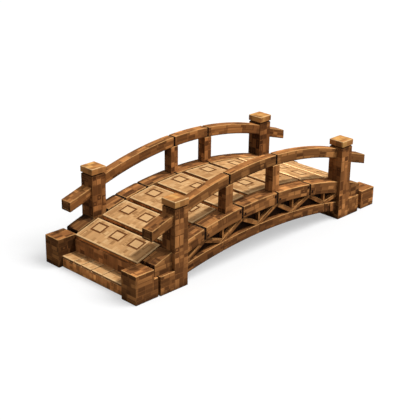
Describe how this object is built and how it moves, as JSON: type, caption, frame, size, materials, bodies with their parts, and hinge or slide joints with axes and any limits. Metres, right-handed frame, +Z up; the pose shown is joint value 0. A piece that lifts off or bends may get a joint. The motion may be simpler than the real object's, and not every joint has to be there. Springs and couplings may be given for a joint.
{
  "type": "moon bridge",
  "caption": "Low arched wooden garden footbridge with heavy capped posts, curved handrails, a tilted slab deck, end steps and a zigzag truss under each edge beam.",
  "frame": {"origin": "centre of the footprint on the ground, at mid-span", "axes": "+X along the bridge, from the end nearest the viewer in the picture to the far end; +Y across it to the left; +Z up"},
  "size_m": [4.304, 1.616, 1.163],
  "materials": {
    "timber": "satin",
    "deck_timber": "satin",
    "dark_timber": "satin"
  },
  "bodies": {
    "root": {"post_near_right": "timber", "post_near_left": "timber", "post_far_right": "timber", "post_far_left": "timber", "cap_near_right": "timber", "cap_near_left": "timber", "cap_far_right": "timber", "cap_far_left": "timber", "end_block_near_right": "timber", "end_block_near_left": "timber", "end_block_far_right": "timber", "end_block_far_left": "timber", "feet_right": "timber", "feet_left": "timber", "sill_near": "dark_timber", "sill_far": "dark_timber", "step_near": "deck_timber", "step_far": "deck_timber", "riser_near": "dark_timber", "riser_far": "dark_timber", "kerb_right": "timber", "kerb_left": "timber", "chord_right": "timber", "chord_left": "timber", "web_right": "timber", "web_left": "timber", "deck_slab_1": "deck_timber", "deck_slab_2": "deck_timber", "deck_slab_3": "deck_timber", "deck_slab_4": "deck_timber", "deck_slab_5": "deck_timber", "deck_slab_6": "deck_timber", "deck_slab_7": "deck_timber", "deck_slab_8": "deck_timber", "bearers": "dark_timber", "rail_right_1": "timber", "rail_right_2": "timber", "rail_right_3": "timber", "rail_left_1": "timber", "rail_left_2": "timber", "rail_left_3": "timber", "stubs_right": "timber", "stubs_left": "timber", "balusters_right": "timber", "balusters_left": "timber"}
  },
  "joints": []
}
